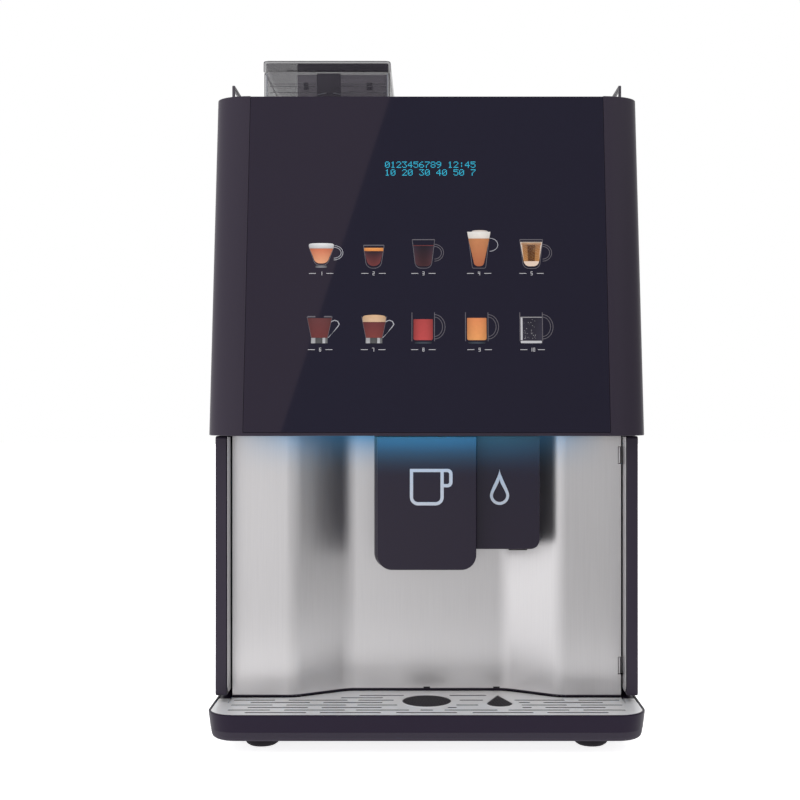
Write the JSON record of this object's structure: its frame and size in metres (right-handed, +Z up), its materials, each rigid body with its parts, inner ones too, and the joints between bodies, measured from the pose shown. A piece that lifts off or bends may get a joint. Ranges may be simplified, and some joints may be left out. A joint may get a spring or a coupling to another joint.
{
  "type": "hot coffee vending machine",
  "caption": "Table-top hot drinks vending machine with a raked glass door, a hinged steel cup station, nozzle covers, a drip tray, a bean hopper and the drink-making units inside.",
  "frame": {"origin": "on the floor, under the middle of the outer size", "axes": "+X to the right of someone facing the machine, +Y from the front to the back, +Z up"},
  "size_m": [0.45, 0.55, 0.7334],
  "materials": {
    "black_plastic": "fine-grained black plastic",
    "trim_plastic": "satin dark plum-grey plastic",
    "cover_plastic": "smooth black plastic",
    "glass": "polished, black-printed behind",
    "steel": "vertically brushed",
    "painted_sheet": "satin powder coat",
    "zinc": "zinc-plated sheet",
    "smoked": "smoked transparent plastic",
    "clear_canister": "translucent plastic",
    "rubber": "matt",
    "grey_plastic": "moulded",
    "silicone": "soft, translucent white",
    "motor": "dark housing",
    "light": "lit light-guide"
  },
  "bodies": {
    "cabinet": {"base_chassis": "black_plastic", "foot_front_left": "rubber", "foot_rear_left": "rubber", "foot_front_right": "rubber", "foot_rear_right": "rubber", "side_panel_right": "painted_sheet", "side_panel_left": "painted_sheet", "cheek_right": "trim_plastic", "cheek_left": "trim_plastic", "cheek_trim_right": "steel", "cheek_trim_left": "steel", "gallery_rail_right": "painted_sheet", "gallery_rail_left": "painted_sheet", "rear_panel": "painted_sheet", "top_cover": "painted_sheet", "mid_shelf": "zinc", "door_strike": "zinc", "door_hinge_top": "zinc", "door_hinge_bottom": "zinc", "station_hinge_lower": "steel", "station_hinge_upper": "steel", "grinder_housing": "motor", "brew_frame": "grey_plastic", "waste_bin": "black_plastic", "boiler": "steel", "power_supply": "zinc", "canister_milk": "clear_canister", "canister_chocolate": "clear_canister", "canister_tea": "clear_canister", "auger_drive": "motor", "mixing_bowl": "grey_plastic", "mixer_motor": "motor", "coffee_nozzle": "black_plastic", "water_spout": "steel", "coffee_hose": "silicone", "power_inlet": "black_plastic", "water_inlet": "zinc"},
    "front_door": {"door_shell": "trim_plastic", "glass_fascia": "glass", "display_module": "motor", "door_liner": "grey_plastic", "door_light_strip": "light"},
    "door_lock": {"door_lock": "zinc"},
    "station_door": {"cup_station_panel": "steel", "station_backing": "black_plastic", "coffee_nozzle_cover": "cover_plastic", "water_nozzle_cover": "cover_plastic"},
    "drip_tray": {"drip_tray": "black_plastic"},
    "drip_grid": {"drip_grid": "steel"},
    "hopper": {"hopper_bin": "smoked"},
    "hopper_lid": {"hopper_lid": "smoked"},
    "hopper_gate": {"hopper_gate": "black_plastic"},
    "service_lid": {"service_lid": "black_plastic"},
    "grinder_burr": {"grinder_burr": "zinc"},
    "brew_piston": {"brew_piston": "zinc"},
    "auger_milk": {"auger_milk": "grey_plastic"},
    "auger_chocolate": {"auger_chocolate": "grey_plastic"},
    "auger_tea": {"auger_tea": "grey_plastic"},
    "whipper": {"whipper": "black_plastic"},
    "power_rocker": {"power_rocker": "black_plastic"}
  },
  "joints": [
    {"name": "front_door_hinge", "type": "hinge", "parent": "cabinet", "child": "front_door", "pos_m": [0.219, -0.179, 0.5], "axis": [0, 0, 1], "range_deg": [0, 100]},
    {"name": "door_lock_turn", "type": "hinge", "parent": "front_door", "child": "door_lock", "pos_m": [-0.21, -0.188, 0.47], "axis": [1, 0, 0], "range_deg": [0, 90]},
    {"name": "station_door_hinge", "type": "hinge", "parent": "cabinet", "child": "station_door", "pos_m": [0.2072, -0.1919, 0.188], "axis": [0, 0, -1], "range_deg": [-85, 0]},
    {"name": "drip_tray_slide", "type": "slide", "parent": "cabinet", "child": "drip_tray", "axis": [0, -1, 0], "range_m": [0, 0.11]},
    {"name": "drip_grid_lift", "type": "slide", "parent": "drip_tray", "child": "drip_grid", "axis": [0, 0, 1], "range_m": [0, 0.05]},
    {"name": "hopper_lift", "type": "slide", "parent": "cabinet", "child": "hopper", "axis": [0, 0, 1], "range_m": [0, 0.12]},
    {"name": "hopper_lid_hinge", "type": "hinge", "parent": "hopper", "child": "hopper_lid", "pos_m": [-0.1097, 0.0359, 0.721], "axis": [-1, 0, 0], "range_deg": [0, 100]},
    {"name": "hopper_gate_slide", "type": "slide", "parent": "hopper", "child": "hopper_gate", "axis": [0, 1, 0], "range_m": [0, 0.037]},
    {"name": "service_lid_hinge", "type": "hinge", "parent": "cabinet", "child": "service_lid", "pos_m": [0.097, 0.156, 0.6794], "axis": [-1, 0, 0], "range_deg": [0, 80]},
    {"name": "grinder_burr_turn", "type": "hinge", "parent": "cabinet", "child": "grinder_burr", "pos_m": [-0.1097, -0.064, 0.57], "axis": [0, 0, 1], "continuous": true},
    {"name": "brew_piston_slide", "type": "slide", "parent": "cabinet", "child": "brew_piston", "axis": [0, 0, 1], "range_m": [0, 0.038]},
    {"name": "auger_milk_turn", "type": "hinge", "parent": "cabinet", "child": "auger_milk", "pos_m": [0.025, 0.02, 0.503], "axis": [0, 1, 0], "continuous": true},
    {"name": "auger_chocolate_turn", "type": "hinge", "parent": "cabinet", "child": "auger_chocolate", "pos_m": [0.1, 0.02, 0.503], "axis": [0, 1, 0], "continuous": true},
    {"name": "auger_tea_turn", "type": "hinge", "parent": "cabinet", "child": "auger_tea", "pos_m": [0.175, 0.02, 0.503], "axis": [0, 1, 0], "continuous": true},
    {"name": "whipper_turn", "type": "hinge", "parent": "cabinet", "child": "whipper", "pos_m": [0.036, -0.05, 0.366], "axis": [0, 1, 0], "continuous": true},
    {"name": "power_rocker_tilt", "type": "hinge", "parent": "cabinet", "child": "power_rocker", "pos_m": [-0.15, 0.2685, 0.089], "axis": [1, 0, 0], "range_deg": [0, 12]}
  ]
}
